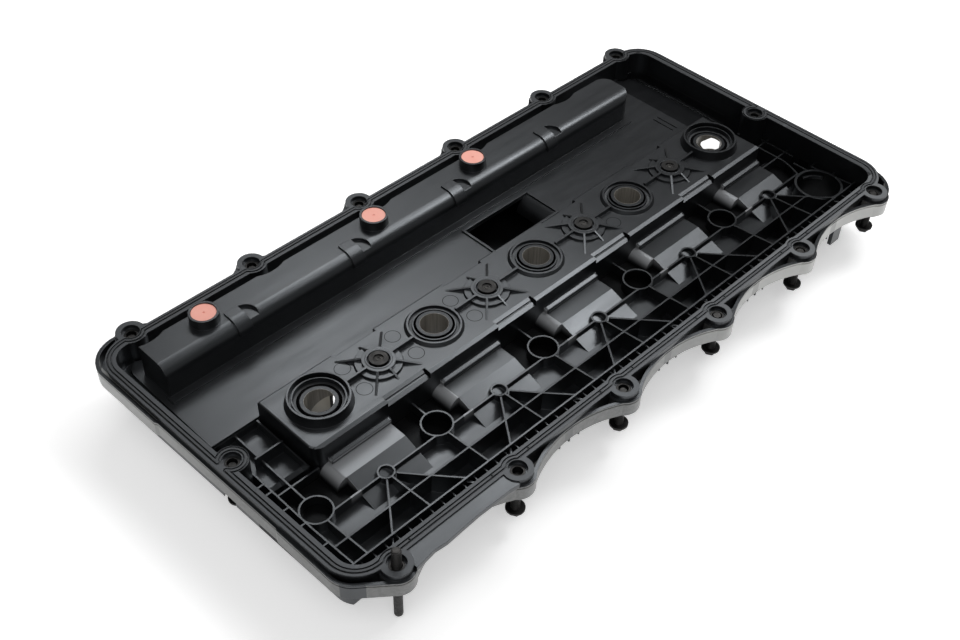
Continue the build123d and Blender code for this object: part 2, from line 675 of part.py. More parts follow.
for i, x in enumerate(injectors):
    if i in (0, cylinders - 1):
        tube(f"injector_seal_{i + 1}", x, 0.0, 16.8 - seal_gap, 13.8 + seal_gap, -4.6, -1.4)
    else:
        tube(f"injector_seal_{i + 1}", x, 0.0, 17.5 - seal_gap, 15.0 + seal_gap, -5.6, -2.2)
for i, x in enumerate(centres):
    tube(f"centre_sleeve_{i + 1}", x, centre_y, centre_sleeve_r, centre_sleeve_bore, -28.0, centre_sleeve_top)
    tube(f"centre_seal_{i + 1}", x, centre_y, centre_ring_in - seal_gap, centre_sleeve_r + seal_gap, -3.0, -1.0)
for i, (x, y) in enumerate(fixings):
    tube(f"bolt_sleeve_{i + 1}", x, y, sleeve_r, sleeve_bore_r, boss_bottom, -hole_recess)
for i, (x, y) in enumerate(cups):
    with BuildPart() as disc:
        with Locations((x, y, cup_seat)):
            Cylinder(cup_bore - seal_gap, 1.4, align=on_foot)
        with Locations((x, y, cup_seat + 1.4)):
            Cylinder(0.8, 1.0, mode=Mode.SUBTRACT)
    disc.part.label = f"drain_disc_{i + 1}"
    export_step(disc.part, f"parts/drain_disc_{i + 1}.step")

# captive flange bolts, hanging at the heights where their sleeves hold them
for i, (x, y) in enumerate(fixings):
    if i == 0:
        continue
    seat = bolt_heads.get(i + 1, hidden_head)
    with BuildPart() as bolt:
        with Locations((x, y, seat)):
            Cylinder(shank_r, bolt_length, align=on_foot)
        chamfer(bolt.edges().group_by(Axis.Z)[-1], 0.9)
        with Locations((x, y, seat)):
            Cylinder(head_r, 1.4, align=from_top)
        with BuildSketch(Plane.XY.offset(seat - head_height)):
            with Locations((x, y)):
                RegularPolygon(4.0, 6, major_radius=False)
        extrude(amount=head_height - 1.0)
    bolt.part.label = f"flange_bolt_{i}"
    export_step(bolt.part, f"parts/flange_bolt_{i}.step")

# long stud in the first boss: plain end outside, collar in the sleeve, screw end inside
with BuildPart() as stud:
    with Locations((front_x[0], front_y, stud_bottom)):
        Cylinder(stud_r, stud_collar[0] - stud_bottom, align=on_foot)
    fillet(stud.edges().group_by(Axis.Z)[0], stud_r - 0.5)
    with Locations((front_x[0], front_y, stud_collar[0])):
        Cylinder(sleeve_bore_r, stud_collar[1] - stud_collar[0], align=on_foot)
    with Locations((front_x[0], front_y, stud_collar[1])):
        Cylinder(stud_screw_r, stud_top - stud_collar[1], align=on_foot)
    chamfer(stud.edges().group_by(Axis.Z)[-1], 1.3, 1.0)
stud.part.label = "long_stud"
export_step(stud.part, "parts/long_stud.step")
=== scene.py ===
import json
from math import cos, pi, radians, sin

import bmesh
import bpy
import numpy as np
from mathutils import Matrix, Vector


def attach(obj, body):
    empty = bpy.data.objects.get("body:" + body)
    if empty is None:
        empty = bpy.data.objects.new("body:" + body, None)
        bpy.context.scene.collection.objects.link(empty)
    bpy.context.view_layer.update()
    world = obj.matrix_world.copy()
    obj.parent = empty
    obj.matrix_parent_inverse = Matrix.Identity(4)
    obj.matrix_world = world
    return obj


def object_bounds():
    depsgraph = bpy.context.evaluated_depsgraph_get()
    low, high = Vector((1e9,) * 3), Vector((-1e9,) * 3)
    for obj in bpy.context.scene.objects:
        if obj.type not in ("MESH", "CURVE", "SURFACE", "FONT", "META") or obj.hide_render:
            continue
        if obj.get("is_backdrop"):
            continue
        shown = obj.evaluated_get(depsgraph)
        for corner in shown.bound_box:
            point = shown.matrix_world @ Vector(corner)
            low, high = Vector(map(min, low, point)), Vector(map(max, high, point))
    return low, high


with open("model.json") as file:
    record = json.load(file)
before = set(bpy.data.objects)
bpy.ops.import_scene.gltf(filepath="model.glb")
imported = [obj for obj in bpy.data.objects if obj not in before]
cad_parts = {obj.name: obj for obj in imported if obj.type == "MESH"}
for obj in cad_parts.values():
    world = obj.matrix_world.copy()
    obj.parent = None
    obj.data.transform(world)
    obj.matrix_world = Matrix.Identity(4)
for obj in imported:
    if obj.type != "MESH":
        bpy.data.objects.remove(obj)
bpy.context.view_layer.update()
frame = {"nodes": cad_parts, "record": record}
nodes = frame["nodes"]

# places on the moulding that the finishes and the small pieces share, in metres in the part's frame
cylinder_pitch = 0.1
front_bolt_start, front_bolt_pitch, front_bolt_y = -0.2473, 0.0985, -0.1256
last_front_bolt_x = 0.2427
ring_boss_start, ring_boss_y = -0.248, -0.0535
neck_axis = (0.2395, -0.0815)
front_rim_edge = -0.1128
hump_lefts = (-0.2195, -0.1235, -0.0235, 0.0765, 0.1795)
hump_rights = (-0.17, -0.07, 0.03, 0.13, 0.226)
ejector_axes = [
    (-0.1271, 0.0119), (-0.1259, -0.0103), (-0.0731, -0.0116), (-0.1718, -0.0111), (-0.1706, 0.0122),
    (-0.075, 0.0103), (0.0711, -0.0116),
]
far_level_start, far_level_end, far_level_fade = 0.035, 0.4, 0.05
# painted shade: the share of specular level left on the far part of the moulding and of the plate
far_shade_level = 0.62


# ---------------------------------------------------------------- finishes

def new_finish(name):
    """An empty material with a Principled shader wired to its output."""
    mat = bpy.data.materials.new(name)
    mat.use_nodes = True
    tree = mat.node_tree
    shader = tree.nodes["Principled BSDF"]
    return mat, tree, shader


def add_node(tree, kind, **values):
    """One shader node with its inputs set by name."""
    node = tree.nodes.new(kind)
    for key, value in values.items():
        if hasattr(node, key):
            setattr(node, key, value)
        else:
            node.inputs[key.replace("_", " ")].default_value = value
    return node


def ramp(tree, source, stops):
    """A colour ramp fed by source, with stops of (place, grey or colour)."""
    node = tree.nodes.new("ShaderNodeValToRGB")
    element = node.color_ramp.elements
    while len(element) < len(stops):
        element.new(0.5)
    for item, (place, tone) in zip(element, stops):
        item.position = place
        item.color = (tone, tone, tone, 1.0) if isinstance(tone, float) else (*tone, 1.0)
    tree.links.new(source, node.inputs["Fac"])
    return node


def math_node(tree, operation, first, second=0.0, third=0.0):
    """One Math node; each input is a socket or a number."""
    node = tree.nodes.new("ShaderNodeMath")
    node.operation = operation
    for socket, value in zip(node.inputs, (first, second, third)):
        if isinstance(value, (int, float)):
            socket.default_value = value
        else:
            tree.links.new(value, socket)
    return node.outputs["Value"]


def mixed(tree, factor, first, second):
    """A colour mix by factor; each colour is a socket or three numbers."""
    node = tree.nodes.new("ShaderNodeMix")
    node.data_type = "RGBA"
    tree.links.new(factor, node.inputs["Factor"])
    for socket, value in zip((node.inputs[6], node.inputs[7]), (first, second)):
        if isinstance(value, tuple):
            socket.default_value = (*value, 1.0)
        else:
            tree.links.new(value, socket)
    return node.outputs[2]


def below(tree, value, limit, soft):
    """1 where value is under limit and 0 above it, over a soft step."""
    node = tree.nodes.new("ShaderNodeMapRange")
    node.interpolation_type = "SMOOTHSTEP"
    tree.links.new(value, node.inputs["Value"])
    node.inputs["From Min"].default_value = limit - soft
    node.inputs["From Max"].default_value = limit + soft
    node.inputs["To Min"].default_value = 1.0
    node.inputs["To Max"].default_value = 0.0
    return node.outputs["Result"]


def above(tree, value, limit, soft):
    """0 where value is under limit and 1 above it, over a soft step."""
    return math_node(tree, "SUBTRACT", 1.0, below(tree, value, limit, soft))


def near_axes(tree, place, axes):
    """Distance in plan from the nearest of some upright axes, given as (x, y)."""
    best = None
    for x, y in axes:
        dx = math_node(tree, "SUBTRACT", place["X"], x)
        dy = math_node(tree, "SUBTRACT", place["Y"], y)
        square_x, square_y = math_node(tree, "MULTIPLY", dx, dx), math_node(tree, "MULTIPLY", dy, dy)
        square = math_node(tree, "ADD", square_x, square_y)
        best = square if best is None else math_node(tree, "MINIMUM", best, square)
    return math_node(tree, "SQRT", best)


def blend_number(tree, factor, first, second):
    """first where factor is 0 and second where it is 1; each is a socket or a number."""
    span = math_node(tree, "SUBTRACT", second, first)
    return math_node(tree, "MULTIPLY_ADD", factor, span, first)


def both(tree, *factors):
    """The product of several masks."""
    result = factors[0]
    for factor in factors[1:]:
        result = math_node(tree, "MULTIPLY", result, factor)
    return result


def between(tree, value, low, high, soft):
    """1 where value lies between two limits, over a soft step at each."""
    return both(tree, below(tree, value, high, soft), above(tree, value, low, soft))


def place_of(tree, coords):
    """The X, Y and Z of the shaded point in the part's frame."""
    parts = tree.nodes.new("ShaderNodeSeparateXYZ")
    tree.links.new(coords, parts.inputs["Vector"])
    return parts.outputs


def near_row(tree, place, start, pitch, y):
    """Distance in plan from the nearest upright axis of an even row along X."""
    along = math_node(tree, "WRAP", math_node(tree, "SUBTRACT", place["X"], start), pitch / 2, -pitch / 2)
    across = math_node(tree, "SUBTRACT", place["Y"], y)
    square = math_node(tree, "MULTIPLY_ADD", across, across, math_node(tree, "MULTIPLY", along, along))
    return math_node(tree, "SQRT", square)


def near_values(tree, value, centres):
    """Distance of a number from the nearest of some others."""
    best = None
    for centre in centres:
        gap = math_node(tree, "ABSOLUTE", math_node(tree, "SUBTRACT", value, centre))
        best = gap if best is None else math_node(tree, "MINIMUM", best, gap)
    return best


def moulded(name, base, dark, rough, grain, edge=0.0005, level=0.5, extra=None):
    """Moulded plastic or rubber: cloudy tone, uneven gloss, fine grain and softened edges."""
    mat, tree, shader = new_finish(name)
    link = tree.links.new
    coords = tree.nodes.new("ShaderNodeTexCoord").outputs["Object"]
    cloud = add_node(tree, "ShaderNodeTexNoise", Scale=38.0, Detail=5.0, Roughness=0.6)
    link(coords, cloud.inputs["Vector"])
    tone = ramp(tree, cloud.outputs["Fac"], [(0.3, dark), (0.7, base)]).outputs["Color"]
    flow = tree.nodes.new("ShaderNodeMapping")
    flow.inputs["Scale"].default_value = (14.0, 90.0, 60.0)
    flow.inputs["Rotation"].default_value = (0.0, 0.0, 0.35)
    link(coords, flow.inputs["Vector"])
    streak = add_node(tree, "ShaderNodeTexNoise", Scale=1.0, Detail=6.0, Roughness=0.7)
    link(flow.outputs["Vector"], streak.inputs["Vector"])
    gloss = ramp(tree, streak.outputs["Fac"], [(0.25, rough[0]), (0.75, rough[1])]).outputs["Color"]
    fine = add_node(tree, "ShaderNodeTexNoise", Scale=1500.0, Detail=3.0, Roughness=0.65)
    link(coords, fine.inputs["Vector"])
    round_edge = add_node(tree, "ShaderNodeBevel", samples=4, Radius=edge)
    look = {"tone": tone, "gloss": gloss, "level": level, "normal": round_edge.outputs["Normal"]}
    if extra:
        extra(tree, coords, look)
    link(look["tone"], shader.inputs["Base Color"])
    link(look["gloss"], shader.inputs["Roughness"])
    bump = add_node(tree, "ShaderNodeBump", Strength=grain, Distance=0.0003)
    link(fine.outputs["Fac"], bump.inputs["Height"])
    link(look["normal"], bump.inputs["Normal"])
    link(bump.outputs["Normal"], shader.inputs["Normal"])
    if isinstance(look["level"], float):
        shader.inputs["Specular IOR Level"].default_value = look["level"]
    else:
        link(look["level"], shader.inputs["Specular IOR Level"])
    shader.inputs["Specular Tint"].default_value = (0.94, 1.0, 1.06, 1.0)
    return mat


def faces_up(tree):
    """1 where the true surface looks upwards and 0 elsewhere."""
    up = tree.nodes.new("ShaderNodeSeparateXYZ")
    tree.links.new(tree.nodes.new("ShaderNodeNewGeometry").outputs["True Normal"], up.inputs["Vector"])
    return math_node(tree, "GREATER_THAN", up.outputs["Z"], 0.2)


def skirt_dust_and_reflection(tree, coords, place, look):
    """Dust on the outside of the skirt, in a mottled tone that is partly painted reflection of the white
    floor; paler along the far front and at the near end, where the paler tone is painted reflection.
    """
    flange_underside, front_face, near_face, boss_radius = -0.0042, -0.12345, -0.2788, 0.0113
    x, y = place["X"], place["Y"]
    under = below(tree, place["Z"], flange_underside, 0.0002)
    rim_side = math_node(
        tree, "MAXIMUM", below(tree, y, front_face, 0.0001), below(tree, x, near_face, 0.0002)
    )
    from_row = near_row(tree, place, front_bolt_start, front_bolt_pitch, front_bolt_y)
    from_last = near_axes(tree, place, [(last_front_bolt_x, front_bolt_y)])
    off_bosses = above(tree, math_node(tree, "MINIMUM", from_row, from_last), boss_radius, 0.0002)
    skirt_outside = both(tree, under, rim_side, off_bosses)
    skirt_mottle = add_node(tree, "ShaderNodeTexNoise", Scale=420.0, Detail=5.0, Roughness=0.7)
    tree.links.new(coords, skirt_mottle.inputs["Vector"])
    # partly painted reflection: the dust tone is pale partly to stand for the white floor mirrored in the
    # skirt
    dust_and_reflection_tone = ramp(tree, skirt_mottle.outputs["Fac"], [(0.3, (0.12, 0.118, 0.11)), (0.7, (0.21, 0.206, 0.195))])
    tone = mixed(tree, skirt_outside, look["tone"], dust_and_reflection_tone.outputs["Color"])
    # painted reflection of the white floor along the far front of the skirt
    painted_reflection_side = both(tree, skirt_outside, between(tree, x, 0.03, 0.4, 0.1))
    tone = mixed(tree, painted_reflection_side, tone, (0.6, 0.6, 0.58))
    # painted reflection of the white floor at the near end of the skirt
    painted_reflection_end = both(tree, skirt_outside, below(tree, x, -0.27, 0.001), between(tree, y, 0.03, 0.3, 0.06))
    look["tone"] = mixed(tree, painted_reflection_end, tone, (0.4, 0.4, 0.385))


def far_painted_shade(tree, place, look):
    """Painted shade: the moulding's specular level is lowered towards the far end, so that it shines less
    there.
    """
    far = between(tree, place["X"], far_level_start, far_level_end, far_level_fade)
    look["level"] = math_node(tree, "MULTIPLY", look["level"], blend_number(tree, far, 1.0, far_shade_level))


def sealing_rim(tree, place, look):
    """The top of the sealing rim: duller than the rest and paler, the paler tone being painted sheen, and
    paler still along the far front, also painted sheen.
    """
    rim_top, back_edge, near_edge, far_edge = -0.0005, 0.1238, -0.2667, 0.2592
    x, y = place["X"], place["Y"]
    front = below(tree, y, front_rim_edge, 0.0001)
    edge_y = math_node(tree, "MAXIMUM", front, math_node(tree, "GREATER_THAN", y, back_edge))
    near = below(tree, x, near_edge, 0.0001)
    edge_x = math_node(tree, "MAXIMUM", near, math_node(tree, "GREATER_THAN", x, far_edge))
    top = above(tree, place["Z"], rim_top, 0.0001)
    rim = both(tree, top, math_node(tree, "MAXIMUM", edge_y, edge_x))
    # painted sheen: a paler tone on the rim top
    tone = mixed(tree, rim, look["tone"], (0.03, 0.031, 0.033))
    # painted sheen: paler still along the far front of the rim
    far_front_sheen = both(tree, rim, front, between(tree, x, 0.05, 0.4, 0.08))
    look["tone"] = mixed(tree, far_front_sheen, tone, (0.11, 0.114, 0.118))
    look["gloss"] = blend_number(tree, rim, look["gloss"], 0.52)


def injector_bores(tree, coords, place, look):
    """Grey-brown streaks down the injector bore walls; in the first bore a pale patch of painted light, as if
    lit from below, with painted shade in a black part of it.
    """
    bore_radius, first_bore_x, first_bore_only = 0.01, -0.2, -0.15
    x, y, z = place["X"], place["Y"], place["Z"]
    bore = below(tree, near_row(tree, place, 0.0, cylinder_pitch, 0.0), bore_radius, 0.00008)
    lines = tree.nodes.new("ShaderNodeMapping")
    lines.inputs["Scale"].default_value = (900.0, 900.0, 25.0)
    lines.inputs["Rotation"].default_value = (0.7, 0.0, 0.0)
    tree.links.new(coords, lines.inputs["Vector"])
    bore_streaks = add_node(tree, "ShaderNodeTexNoise", Scale=1.0, Detail=4.0, Roughness=0.7)
    tree.links.new(lines.outputs["Vector"], bore_streaks.inputs["Vector"])
    bore_streak_tone = ramp(tree, bore_streaks.outputs["Fac"], [(0.3, (0.13, 0.12, 0.105)), (0.7, (0.28, 0.26, 0.225))])
    turn = math_node(tree, "ARCTAN2", y, math_node(tree, "SUBTRACT", x, first_bore_x))
    slant = math_node(tree, "MULTIPLY_ADD", turn, -0.0094, -0.0036)
    under_slant = below(tree, math_node(tree, "SUBTRACT", z, slant), 0.0, 0.0003)
    # painted light: a pale patch low on the first bore's wall, as if lit from below
    painted_light_patch = both(tree, bore, under_slant, below(tree, x, first_bore_only, 0.01))
    # painted shade: the part of that patch at angles below about ten degrees is black
    black = both(tree, painted_light_patch, below(tree, turn, 0.18, 0.02))
    bore_tone = mixed(tree, painted_light_patch, bore_streak_tone.outputs["Color"], (0.62, 0.58, 0.5))
    bore_tone = mixed(tree, black, bore_tone, (0.004, 0.004, 0.004))
    look["tone"] = mixed(tree, bore, look["tone"], bore_tone)


def painted_shade_places(tree, place, look):
    """Painted shade where hardly any light reaches: grooves, cells, rings and the filler neck; and painted
    shade in the lines of the ejector marks.
    """
    ring_radius, ring_top, first_ring_end = 0.01, -0.021, -0.2
    neck_radius, neck_top = 0.0173, -0.0182
    x, y, z = place["X"], place["Y"], place["Z"]
    round_bore = near_row(tree, place, 0.0, cylinder_pitch, 0.0)
    groove = both(tree, between(tree, round_bore, 0.0124, 0.0141, 0.0001), below(tree, z, -0.0002, 0.0001))
    mouth = both(tree, between(tree, round_bore, 0.0099, 0.0128, 0.0001), below(tree, z, 0.0005, 0.0001))
    cell = both(tree, below(tree, z, -0.0271, 0.0003), between(tree, y, -0.0602, -0.0295, 0.0004))
    from_ring = near_row(tree, place, ring_boss_start, cylinder_pitch, ring_boss_y)
    ring = both(tree, below(tree, from_ring, ring_radius, 0.00008), below(tree, z, ring_top, 0.001))
    ring = both(tree, ring, math_node(tree, "GREATER_THAN", x, first_ring_end))
    marks = between(tree, near_axes(tree, place, ejector_axes), 0.0052, 0.0057, 0.0001)
    marks = both(tree, marks, between(tree, z, -0.003, -0.002, 0.0001))
    from_neck = near_axes(tree, place, [neck_axis])
    neck = both(tree, below(tree, from_neck, neck_radius, 0.0001), below(tree, z, neck_top, 0.0003))
    look["level"] = blend_number(tree, mouth, look["level"], 0.45)
    # painted shade: each place gets a near-black tone and less specular level
    for mask, left in ((groove, 0.0), (cell, 0.06), (ring, 0.0), (marks, 0.1), (neck, 0.12)):
        look["level"] = blend_number(tree, mask, look["level"], left)
        look["tone"] = mixed(tree, mask, look["tone"], (0.003, 0.003, 0.0032))


def painted_hump_highlights(tree, place, up, look):
    """Painted highlights: a paler tone on the rolled near end of each hump, and on the top of the first one.
    """
    roll_offset, roll_half_width = 0.0034, 0.0042
    x, y, z = place["X"], place["Y"], place["Z"]
    from_roll = near_values(tree, x, [left - roll_offset for left in hump_lefts])
    near_end = below(tree, from_roll, roll_half_width, 0.0002)
    roll = both(tree, near_end, between(tree, y, -0.072, -0.0302, 0.0003))
    roll = both(tree, roll, between(tree, z, -0.0235, -0.0152, 0.003))
    # painted highlight on the rolled near ends of the humps
    tone = mixed(tree, roll, look["tone"], (0.2, 0.205, 0.212))
    first = both(tree, below(tree, x, -0.1699, 0.0001), between(tree, y, -0.0475, -0.0336, 0.0001))
    first = both(tree, first, between(tree, z, -0.0192, -0.0152, 0.0001), up)
    # painted highlight on the top of the first hump
    look["tone"] = mixed(tree, first, tone, (0.16, 0.165, 0.172))


def rolled_spine(tree, place, up, look):
    """The front edge of the spine and its ledges: their normals lean forward, so that they show as rolled."""
    y, z = place["Y"], place["Z"]
    spine = both(tree, between(tree, y, -0.0303, -0.0272, 0.0002), math_node(tree, "GREATER_THAN", z, -0.0039))
    ledge = both(tree, between(tree, y, -0.0303, -0.0277, 0.0001), between(tree, z, -0.0073, -0.0045, 0.0001))
    step = both(tree, between(tree, y, -0.0264, -0.0239, 0.0001), between(tree, z, -0.004, -0.00252, 0.00001))
    lit = math_node(tree, "MAXIMUM", math_node(tree, "MAXIMUM", spine, step), ledge)
    lit = both(tree, lit, up)
    toward = tree.nodes.new("ShaderNodeCombineXYZ")
    toward.inputs["Y"].default_value = -0.34
    toward.inputs["Z"].default_value = 0.94
    leaned = tree.nodes.new("ShaderNodeMix")
    leaned.data_type = "VECTOR"
    tree.links.new(lit, leaned.inputs["Factor"])
    tree.links.new(look["normal"], leaned.inputs[4])
    tree.links.new(toward.outputs["Vector"], leaned.inputs[5])
    unit = tree.nodes.new("ShaderNodeVectorMath")
    unit.operation = "NORMALIZE"
    tree.links.new(leaned.outputs[1], unit.inputs[0])
    look["normal"] = unit.outputs["Vector"]


def cover_zones(tree, coords, look):
    """The zones of the black moulding that differ from plain nylon, most of them painted light and shade, in
    the order in which they lie.
    """
    place = place_of(tree, coords)
    up = faces_up(tree)
    skirt_dust_and_reflection(tree, coords, place, look)
    far_painted_shade(tree, place, look)
    sealing_rim(tree, place, look)
    injector_bores(tree, coords, place, look)
    painted_shade_places(tree, place, look)
    painted_hump_highlights(tree, place, up, look)
    rolled_spine(tree, place, up, look)


def seal_zones(tree, coords, look):
    """Painted shade on the inner edge of an injector seal, sunk in its groove; and the dark nibs on the
    gasket.
    """
    seal_edge, nib_offset, nib_y, nib_radius = 0.0147, 0.0157, -0.1191, 0.0007
    place = place_of(tree, coords)
    sunk = below(tree, near_row(tree, place, 0.0, cylinder_pitch, 0.0), seal_edge, 0.0001)
    left = near_row(tree, place, front_bolt_start - nib_offset, front_bolt_pitch, nib_y)
    right = near_row(tree, place, front_bolt_start + nib_offset, front_bolt_pitch, nib_y)
    nib = below(tree, math_node(tree, "MINIMUM", left, right), nib_radius, 0.0001)
    dark = math_node(tree, "MAXIMUM", sunk, nib)
    # painted shade on the sunk seal edge; the nibs are dark too
    look["tone"] = mixed(tree, dark, look["tone"], (0.002, 0.002, 0.002))
    look["level"] = blend_number(tree, dark, look["level"], 0.0)


def baffle_zones(tree, coords, look):
    """Two black score lines at the far end of the separator plate, and painted shade on its far part, where
    the specular level is lower.
    """
    place = place_of(tree, coords)
    first, second = (between(tree, place["X"], start, start + 0.001, 0.0001) for start in (0.209, 0.214))
    lines = math_node(tree, "MAXIMUM", first, second)
    reach = between(tree, place["Y"], 0.042, 0.063, 0.0001)
    score = both(tree, lines, reach, below(tree, place["Z"], -0.012, 0.001))
    look["tone"] = mixed(tree, score, look["tone"], (0.002, 0.002, 0.002))
    # painted shade: less specular level on the far part of the plate
    far = between(tree, place["X"], far_level_start, far_level_end, far_level_fade)
    far_plate = both(tree, far, below(tree, place["Z"], -0.0125, 0.001))
    fade = blend_number(tree, far_plate, 1.0, far_shade_level)
    look["level"] = blend_number(tree, score, math_node(tree, "MULTIPLY", look["level"], fade), 0.0)


def metal(name, base, dark, rough, thread=0.0):
    """Plated steel: patchy tone, a dull shine and, where thread is its pitch, screw threads."""
    mat, tree, shader = new_finish(name)
    link = tree.links.new
    coords = tree.nodes.new("ShaderNodeTexCoord").outputs["Object"]
    cloud = add_node(tree, "ShaderNodeTexNoise", Scale=260.0, Detail=6.0, Roughness=0.7)
    link(coords, cloud.inputs["Vector"])
    tone = ramp(tree, cloud.outputs["Fac"], [(0.3, dark), (0.7, base)])
    link(tone.outputs["Color"], shader.inputs["Base Color"])
    gloss = ramp(tree, cloud.outputs["Fac"], [(0.2, rough[1]), (0.8, rough[0])])
    link(gloss.outputs["Color"], shader.inputs["Roughness"])
    fine = add_node(tree, "ShaderNodeTexNoise", Scale=2600.0, Detail=2.0)
    link(coords, fine.inputs["Vector"])
    bump = add_node(tree, "ShaderNodeBump", Strength=0.12, Distance=0.0002)
    link(fine.outputs["Fac"], bump.inputs["Height"])
    round_edge = add_node(tree, "ShaderNodeBevel", samples=4, Radius=0.0003)
    link(round_edge.outputs["Normal"], bump.inputs["Normal"])
    last = bump
    if thread:
        turns = math_node(tree, "MULTIPLY", place_of(tree, coords)["Z"], 2.0 * pi / thread)
        height = math_node(tree, "SINE", turns)
        last = add_node(tree, "ShaderNodeBump", Strength=1.0, Distance=0.0003)
        link(height, last.inputs["Height"])
        link(bump.outputs["Normal"], last.inputs["Normal"])
    link(last.outputs["Normal"], shader.inputs["Normal"])
    shader.inputs["Metallic"].default_value = 0.85
    return mat


nylon_look = {
    "base": (0.0065, 0.0068, 0.0075), "dark": (0.003, 0.0031, 0.0035), "rough": (0.27, 0.4), "grain": 0.1,
    "edge": 0.0005, "level": 0.85,
}
nylon = moulded("nylon_black", **nylon_look, extra=cover_zones)
rubber = moulded(
    "rubber_seal", base=(0.022, 0.0222, 0.023), dark=(0.014, 0.014, 0.0145), rough=(0.42, 0.56), grain=0.08,
    edge=0.0004, level=0.75, extra=seal_zones,
)
steel_dark = metal("steel_dark", (0.038, 0.037, 0.036), (0.016, 0.016, 0.016), (0.34, 0.5))
steel_zinc = metal("steel_zinc", (0.075, 0.072, 0.068), (0.03, 0.03, 0.03), (0.34, 0.55))
salmon = moulded(
    "disc_salmon", base=(0.96, 0.47, 0.38), dark=(0.9, 0.38, 0.3), rough=(0.4, 0.5), grain=0.05, edge=0.0003
)
baffle_nylon = moulded("nylon_baffle", **nylon_look, extra=baffle_zones)
steel_screw = metal("steel_screw", (0.06, 0.058, 0.056), (0.025, 0.025, 0.025), (0.32, 0.5), thread=0.001)
finishes = {
    "nylon_black": nylon,
    "rubber_seal": rubber,
    "steel_dark": steel_dark,
    "steel_zinc": steel_zinc,
    "disc_salmon": salmon,
}

slot_of = {entry["node"]: entry["material_slot"] for entry in frame["record"]["subparts"]}
for name, item in nodes.items():
    finish = finishes[slot_of[name]]
    if name == "separator_baffle":
        finish = baffle_nylon
    elif name == "long_stud" or name.startswith("flange_bolt"):
        finish = steel_screw
    if not item.material_slots:
        item.data.materials.append(finish)
    for entry in item.material_slots:
        entry.material = finish


# ---------------------------------------------------------------- pieces

def daylight(name, strength):
    """White that also shines, for the camera and for mirror and glass rays only."""
    mat, tree, shader = new_finish(name)
    shader.inputs["Base Color"].default_value = (0.93, 0.93, 0.93, 1.0)
    shader.inputs["Roughness"].default_value = 0.9
    shader.inputs["Specular IOR Level"].default_value = 0.1
    shader.inputs["Emission Color"].default_value = (1.0, 1.0, 1.0, 1.0)
    path = tree.nodes.new("ShaderNodeLightPath").outputs
    seen = math_node(tree, "MAXIMUM", path["Is Camera Ray"], path["Is Glossy Ray"])
    seen = math_node(tree, "MAXIMUM", seen, path["Is Transmission Ray"])
    tree.links.new(math_node(tree, "MULTIPLY", seen, strength), shader.inputs["Emission Strength"])
    return mat


def surface(name, grid, finish):
    """A closed surface over a grid of points in mm: rows run open, columns close on themselves, and a row
    whose points all coincide closes an end."""
    rows, columns = grid.shape[:2]
    index = np.arange(rows * columns).reshape(rows, columns)
    after = np.roll(index, -1, axis=1)
    faces = np.stack([index[:-1], after[:-1], after[1:], index[1:]], axis=-1).reshape(-1, 4)
    mesh = bpy.data.meshes.new(name)
    mesh.from_pydata((grid.reshape(-1, 3) / 1000.0).tolist(), [], faces.tolist())
    work = bmesh.new()
    work.from_mesh(mesh)
    bmesh.ops.remove_doubles(work, verts=work.verts, dist=1e-7)
    bmesh.ops.recalc_face_normals(work, faces=work.faces)
    work.to_mesh(mesh)
    work.free()
    mesh.materials.append(finish)
    item = bpy.data.objects.new(name, mesh)
    bpy.context.scene.collection.objects.link(item)
    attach(item, "cover")
    return item


def turned(name, x, y, profile, finish, count=48):
    """A profile (r, z) turned about an upright axis: (x + r cos a, y + r sin a, z), for a from 0 to 2 pi."""
    r, z = np.array(profile, float).T[:, :, None]
    a = np.linspace(0.0, 2.0 * np.pi, count, endpoint=False)[None, :]
    grid = np.stack([x + r * np.cos(a), y + r * np.sin(a), z + 0.0 * a], axis=-1)
    return surface(name, grid, finish)


def arc_band(name, x, y, inner, outer, angles, tops, lows, finish, slot, count=40):
    """A band of a ring between two radii: at each angle a its section is the rectangle from low(a) to top(a),
    both read off a polyline over the angles, and each end closes on its middle."""
    a = np.linspace(angles[0], angles[-1], count)
    top, low = np.interp(a, angles, tops), np.interp(a, angles, lows)
    r = np.broadcast_to(np.array([inner, outer, outer, inner]), (count, 4))
    z = np.stack([low, low, top, top], axis=1)
    turn = np.radians(a)[:, None]
    grid = np.stack([x + r * np.cos(turn), y + r * np.sin(turn), z], axis=-1)
    first, last = (np.broadcast_to(row.mean(axis=0), row.shape)[None] for row in (grid[0], grid[-1]))
    return surface(name, np.concatenate([first, grid, last]), finish)


def rail(name, x0, x1, section, finish, nose=2.0):
    """A section (y, z) carried along X. Near each end it shrinks on its middle by sqrt(1 - (1 - d / nose)^2),
    where d is the distance from the end, so both ends are round."""
    d = nose * (1.0 - np.cos(np.linspace(0.0, np.pi / 2, 6)))
    x = np.concatenate([x0 + d, x1 - d[::-1]])
    scale = np.sqrt(np.clip(1.0 - (1.0 - np.concatenate([d, d[::-1]]) / nose) ** 2, 0.0, 1.0))
    loop = np.array(section, float)
    middle = loop.mean(axis=0)
    yz = middle + scale[:, None, None] * (loop - middle)
    grid = np.concatenate([np.broadcast_to(x[:, None, None], (len(x), len(loop), 1)), yz], axis=-1)
    return surface(name, grid, finish)


def add_hump_rails():
    """The rolled rail along the back of each hump, a little past its ends; its section is (y, z) in mm."""
    section = [
        (-29.8, -15.3), (-30.9, -15.25), (-32.2, -15.7), (-33.3, -16.15), (-33.8, -16.6), (-34.0, -17.3),
        (-33.6, -18.95), (-31.5, -18.95), (-29.8, -18.0),
    ]
    starts_in, ends_past = 0.3, 1.6
    for i, (left, right) in enumerate(zip(hump_lefts, hump_rights)):
        x0, x1 = 1000.0 * left + starts_in, 1000.0 * right + ends_past
        rail(f"hump_rail_{i + 1}", x0, x1, section, nylon)


